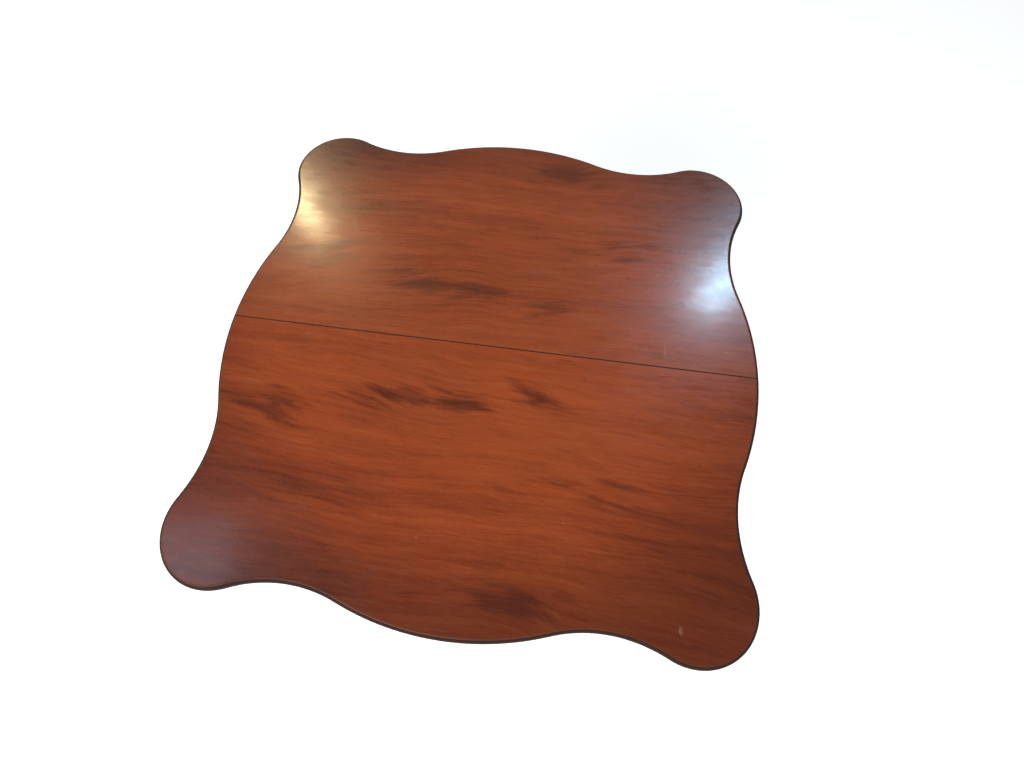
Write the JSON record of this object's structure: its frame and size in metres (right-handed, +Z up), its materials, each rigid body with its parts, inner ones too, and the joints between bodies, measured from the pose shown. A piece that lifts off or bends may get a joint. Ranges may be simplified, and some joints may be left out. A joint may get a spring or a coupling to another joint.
{
  "type": "tilt top table",
  "caption": "Tripod pedestal table whose scalloped square mahogany top tips up on a hinged block and is held flat by a sliding brass catch.",
  "frame": {"origin": "on the floor, under the middle of the top, which is on the column's axis", "axes": "+Z up; +X to the right along the grain of the boards and along their joint; the front, where the catch is, faces -Y"},
  "size_m": [0.8272, 0.813, 0.711],
  "materials": {
    "top_mahogany": "polished, slightly worn",
    "base_mahogany": "satin polish",
    "brass": "aged",
    "black_iron": "wrought, dull",
    "steel": "dull, aged"
  },
  "bodies": {
    "base": {"column": "base_mahogany", "tenon_wedge": "base_mahogany", "leg_front": "base_mahogany", "leg_rear_right": "base_mahogany", "leg_rear_left": "base_mahogany", "spider_plate": "black_iron", "spider_arm_screw_front": "black_iron", "spider_arm_screw_rear_right": "black_iron", "spider_arm_screw_rear_left": "black_iron", "spider_hub_screw_1": "black_iron", "spider_hub_screw_2": "black_iron", "spider_hub_screw_3": "black_iron", "block": "base_mahogany", "pivot_screw_left": "steel", "pivot_screw_right": "steel", "strike_plate": "brass", "strike_screw_left": "brass", "strike_screw_right": "brass"},
    "top": {"top_board_front": "top_mahogany", "top_board_rear": "top_mahogany", "batten_left": "base_mahogany", "batten_right": "base_mahogany", "batten_screw_left_front_1": "steel", "batten_screw_left_front_2": "steel", "batten_screw_left_front_3": "steel", "batten_screw_left_rear_1": "steel", "batten_screw_left_rear_2": "steel", "batten_screw_left_rear_3": "steel", "batten_screw_right_front_1": "steel", "batten_screw_right_front_2": "steel", "batten_screw_right_front_3": "steel", "batten_screw_right_rear_1": "steel", "batten_screw_right_rear_2": "steel", "batten_screw_right_rear_3": "steel", "catch_plate": "brass", "catch_case": "brass", "catch_screw_left_front": "brass", "catch_screw_left_rear": "brass", "catch_screw_right_front": "brass", "catch_screw_right_rear": "brass"},
    "catch_bolt": {"catch_bolt": "brass", "catch_knob": "brass", "catch_leaf_spring": "steel"}
  },
  "joints": [
    {"name": "top_tilt", "type": "hinge", "parent": "base", "child": "top", "pos_m": [0, 0.0673, 0.673], "axis": [-1, 0, 0], "range_deg": [0, 90]},
    {"name": "catch_bolt_slide", "type": "slide", "parent": "top", "child": "catch_bolt", "axis": [0, 1, 0], "range_m": [0, 0.01]}
  ]
}
